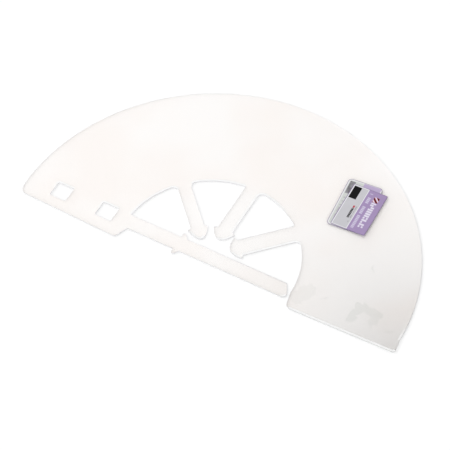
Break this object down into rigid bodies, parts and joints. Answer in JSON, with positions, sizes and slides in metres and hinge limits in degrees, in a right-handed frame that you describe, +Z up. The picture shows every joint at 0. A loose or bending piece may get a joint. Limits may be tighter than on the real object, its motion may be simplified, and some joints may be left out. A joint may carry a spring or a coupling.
{
  "type": "pet recovery collar blank",
  "caption": "Flat clear plastic half-ring blank of a pet recovery cone, with fold-back barbed neck tabs, a long locking strap, strap slots and a printed label.",
  "frame": {"origin": "centre of the flat blank's outline rectangle, on the surface that it lies on", "axes": "+X along the straight side towards the plain end, +Y towards the middle of the outer arc, +Z up out of the printed side"},
  "size_m": [0.54, 0.2978, 0.0026],
  "materials": {
    "clear_sheet": "clear, faintly warm, glossy with light scuffs",
    "base_card": "coated card, pale grey with a lavender side",
    "cover_card": "coated card, pale grey panel and a lavender band, printed"
  },
  "bodies": {
    "sheet": {"collar_panel": "clear_sheet", "label_base_card": "base_card"},
    "strap": {"closing_strap": "clear_sheet"},
    "tab_left": {"neck_tab_left": "clear_sheet"},
    "tab_middle": {"neck_tab_middle": "clear_sheet"},
    "tab_right": {"neck_tab_right": "clear_sheet"},
    "label_cover": {"label_cover_card": "cover_card"}
  },
  "joints": [
    {"name": "strap_fold", "type": "hinge", "parent": "sheet", "child": "strap", "pos_m": [-0.11013, -0.12005, 0.0015], "axis": [0, -1, 0], "range_deg": [0, 165]},
    {"name": "tab_left_fold", "type": "hinge", "parent": "sheet", "child": "tab_left", "pos_m": [-0.07816, -0.04288, 0.0015], "axis": [-0.7071, -0.7071, 0], "range_deg": [0, 165]},
    {"name": "tab_middle_fold", "type": "hinge", "parent": "sheet", "child": "tab_middle", "pos_m": [-0.00099, -0.01091, 0.0015], "axis": [-1, 0, 0], "range_deg": [0, 165]},
    {"name": "tab_right_fold", "type": "hinge", "parent": "sheet", "child": "tab_right", "pos_m": [0.07619, -0.04288, 0.0015], "axis": [-0.7071, 0.7071, 0], "range_deg": [0, 165]},
    {"name": "label_cover_lift", "type": "hinge", "parent": "sheet", "child": "label_cover", "pos_m": [0.13416, 0.06818, 0.0026], "axis": [-0.9997, -0.0244, 0], "range_deg": [0, 170]}
  ]
}
